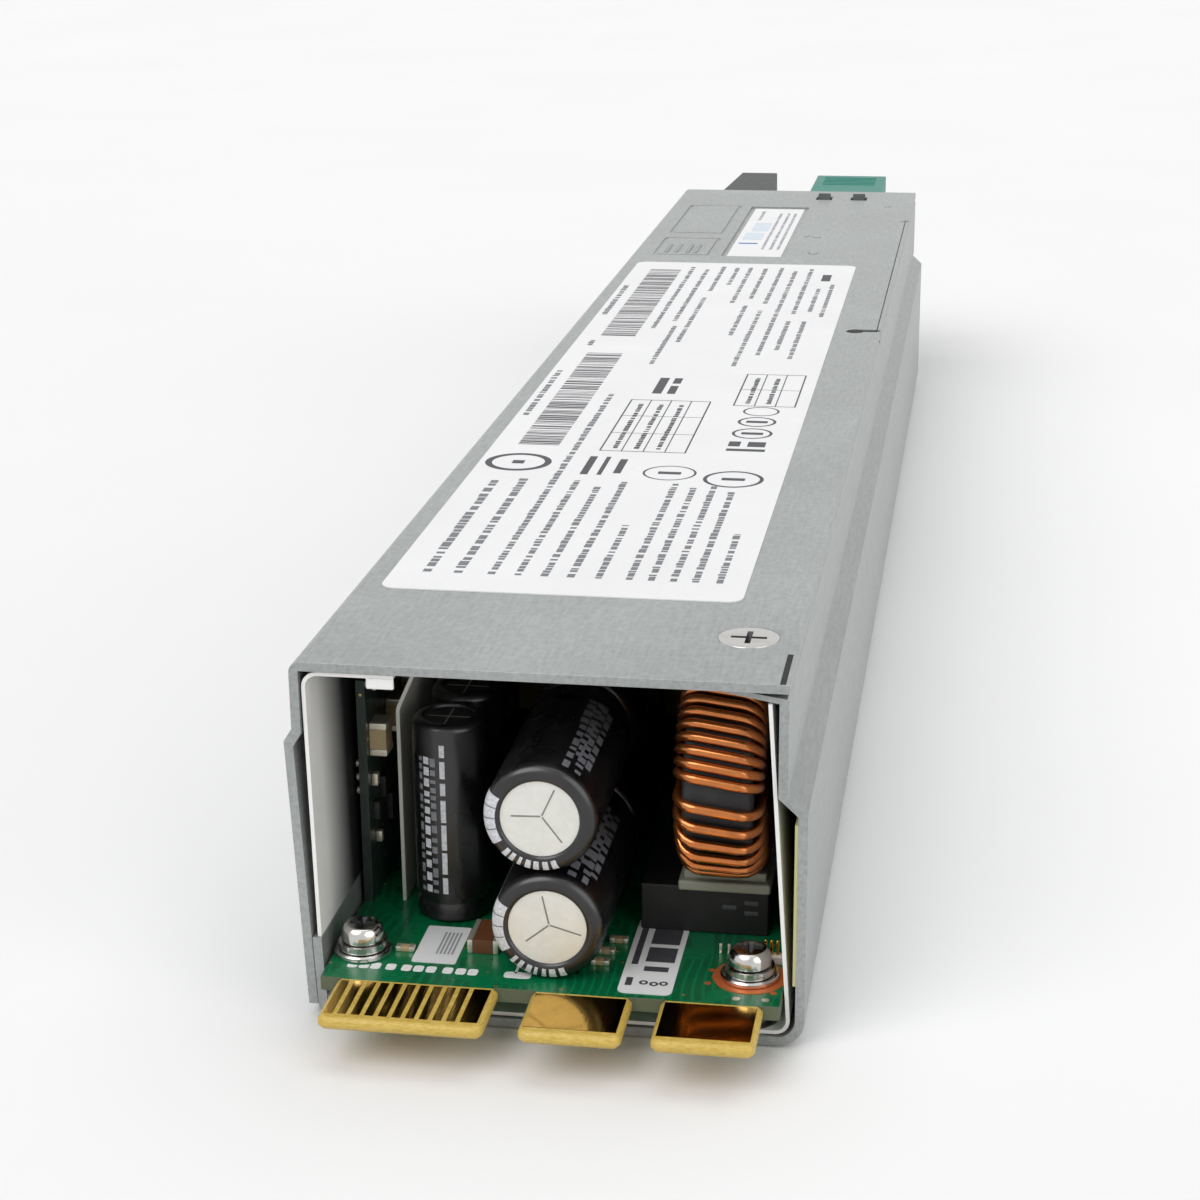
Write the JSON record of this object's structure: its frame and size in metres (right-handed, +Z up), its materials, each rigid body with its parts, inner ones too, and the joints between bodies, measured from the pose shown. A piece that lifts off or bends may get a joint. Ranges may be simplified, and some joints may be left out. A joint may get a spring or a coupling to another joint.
{
  "type": "hot swap server power supply",
  "caption": "Slim hot swap server power supply: stepped steel housing, card-edge plug, fan, mains inlet, carrying handle and sprung release latch.",
  "frame": {"origin": "middle of the housing's underside, at half its width and half the length of its sheet metal", "axes": "+Z up, +Y from the card edge towards the handle, +X to the right when looking along +Y"},
  "size_m": [0.0544, 0.3575, 0.0409],
  "materials": {
    "galvanised": "satin",
    "label_white": "matte",
    "liner_white": "matte",
    "tape_olive": "matte",
    "board_green": "glossy",
    "contact_gold": "polished",
    "screw_steel": "polished",
    "ring_copper": "satin",
    "coil_copper": "glossy",
    "sleeve_black": "glossy",
    "can_aluminium": "satin",
    "core_grey": "matte",
    "moulded_grey": "matte",
    "moulded_black": "matte",
    "chip_beige": "satin",
    "chip_brown": "matte",
    "header_white": "matte",
    "tape_yellow": "satin",
    "box_yellow": "glossy",
    "sink_aluminium": "satin",
    "fuse_glass": "glossy",
    "wire_sleeve": "matte",
    "lamp_clear": "glossy",
    "latch_teal": "satin",
    "spring_steel": "satin"
  },
  "bodies": {
    "housing": {"base_tray": "galvanised", "top_cover": "galvanised", "cover_screw": "screw_steel", "main_label": "label_white", "small_label": "label_white", "liner": "liner_white", "side_tape": "tape_olive", "main_board": "board_green", "edge_contacts": "contact_gold", "standoffs": "screw_steel", "flat_washers": "screw_steel", "lock_washers": "screw_steel", "board_screws": "screw_steel", "earth_rings": "ring_copper", "board_stickers": "label_white", "output_cap_cans": "can_aluminium", "output_cap_sleeves": "sleeve_black", "post_cap_cans": "can_aluminium", "post_cap_sleeves": "sleeve_black", "output_choke_core": "core_grey", "output_choke_coil": "coil_copper", "output_choke_base": "moulded_grey", "driver_module": "moulded_black", "sense_pins": "contact_gold", "control_card": "board_green", "card_chips": "chip_beige", "card_header": "header_white", "screen_sheet": "liner_white", "brown_chip": "chip_brown", "output_sink": "sink_aluminium", "output_rectifiers": "moulded_black", "mains_sink": "sink_aluminium", "mains_switches": "moulded_black", "transformer_core": "core_grey", "transformer_coil": "tape_yellow", "store_cap_can": "can_aluminium", "store_cap_sleeve": "sleeve_black", "boost_choke_core": "core_grey", "boost_choke_coil": "coil_copper", "filter_choke_core": "core_grey", "filter_choke_coil": "coil_copper", "filter_blocks": "box_yellow", "relay": "moulded_black", "bridge_rectifier": "moulded_black", "fuse": "fuse_glass", "fan_frame": "moulded_black", "inlet_shell": "moulded_black", "inlet_pins": "screw_steel", "inlet_wires": "wire_sleeve", "face_panel": "galvanised", "status_lamp": "lamp_clear", "handle": "moulded_black", "handle_screws": "screw_steel", "latch_bracket": "galvanised", "latch_pin": "screw_steel", "latch_spring": "spring_steel"},
    "latch": {"latch_lever": "latch_teal"},
    "rotor": {"fan_rotor": "moulded_black"}
  },
  "joints": [
    {"name": "latch_press", "type": "hinge", "parent": "housing", "child": "latch", "pos_m": [0, 0.129, 0.0335], "axis": [-1, 0, 0], "range_deg": [0, 5], "stiffness_Nm_per_rad": 0.5, "springref_deg": -11.46, "deforming": ["latch_spring"]},
    {"name": "fan_spin", "type": "hinge", "parent": "housing", "child": "rotor", "pos_m": [-0.0053, 0.103, 0.0198], "axis": [0, 1, 0], "continuous": true}
  ]
}
